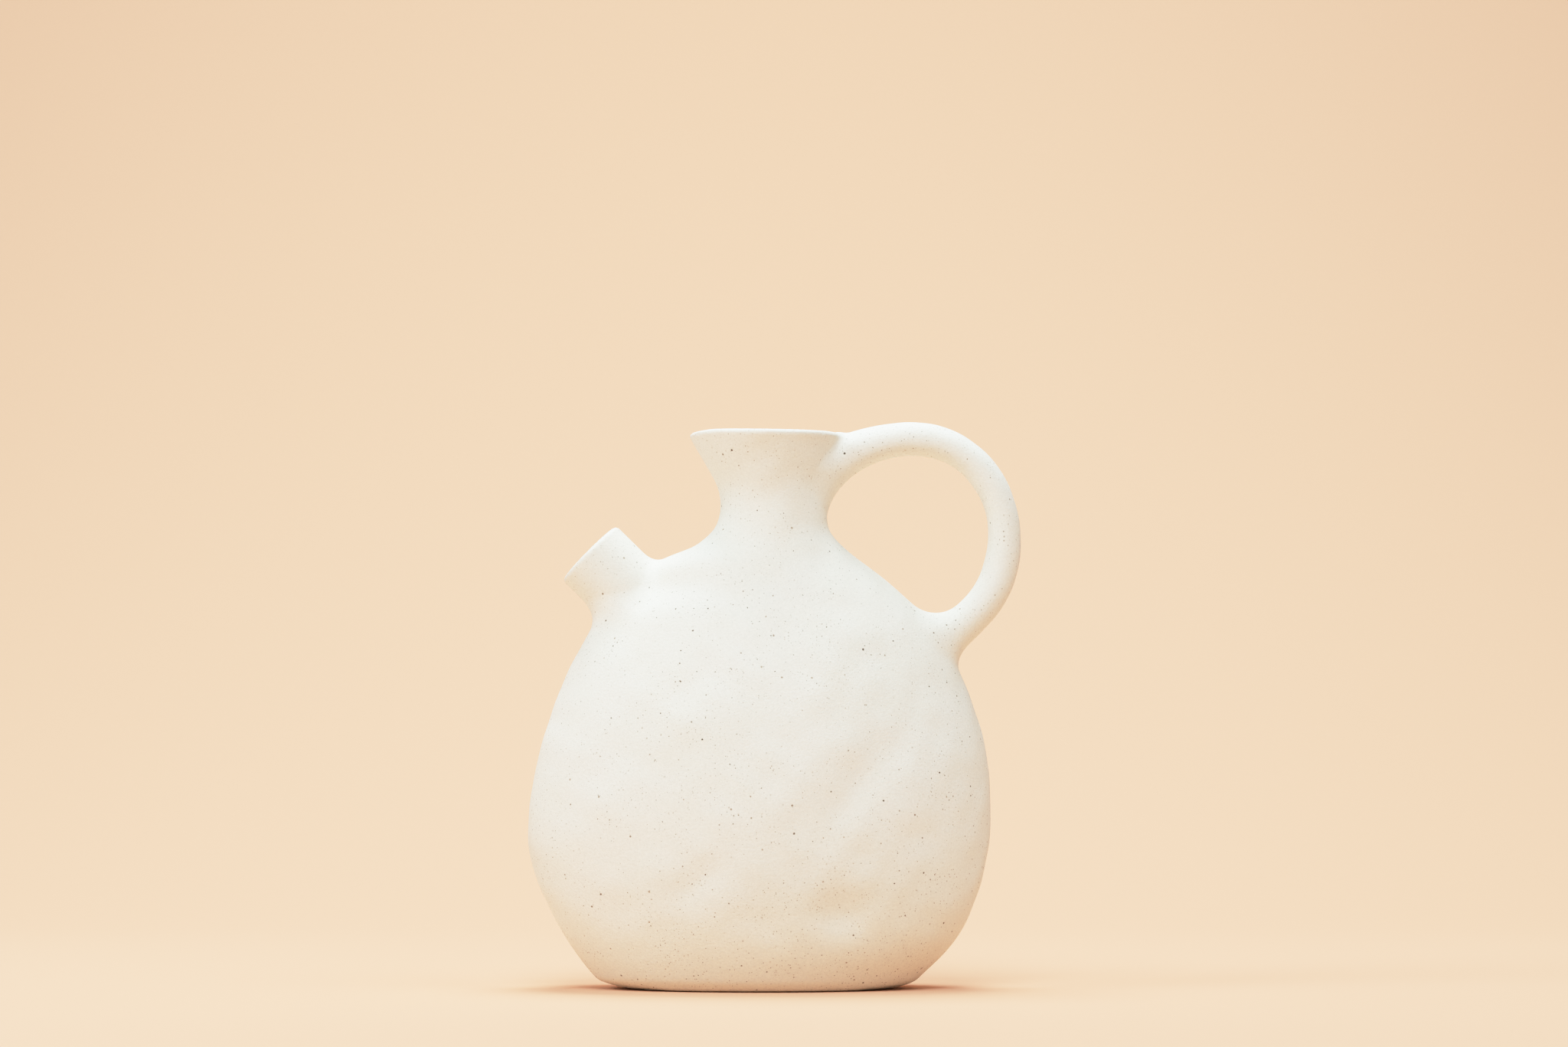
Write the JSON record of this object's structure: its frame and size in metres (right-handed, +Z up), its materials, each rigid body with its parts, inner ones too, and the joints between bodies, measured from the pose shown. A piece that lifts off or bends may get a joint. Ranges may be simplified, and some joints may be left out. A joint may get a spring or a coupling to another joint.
{
  "type": "ceramic pitcher",
  "caption": "Flattened egg-shaped stoneware pitcher with a flared neck, a short round spout on one shoulder and a looped handle on the other, for holding and pouring liquid.",
  "frame": {"origin": "in the flat foot, on the surface that the pitcher stands on, under the middle of the body", "axes": "+Z up out of the mouth, +X towards the handle, -X towards the spout, Y through the flattened sides"},
  "size_m": [0.2097, 0.104, 0.2404],
  "materials": {
    "speckled_glaze": "dry matte off-white glaze with fine iron specks and a sandy grain",
    "bare_clay": "bare fired stoneware on the underside of the foot"
  },
  "bodies": {
    "root": {"foot_slab": "bare_clay", "lower_wall": "speckled_glaze", "shoulder_wall": "speckled_glaze", "neck_seam_coil": "speckled_glaze", "neck_collar": "speckled_glaze", "rim_coil": "speckled_glaze", "spout_tube": "speckled_glaze", "spout_seam_coil": "speckled_glaze", "handle_loop": "speckled_glaze", "handle_top_seam_coil": "speckled_glaze", "handle_bottom_seam_coil": "speckled_glaze"}
  },
  "joints": []
}
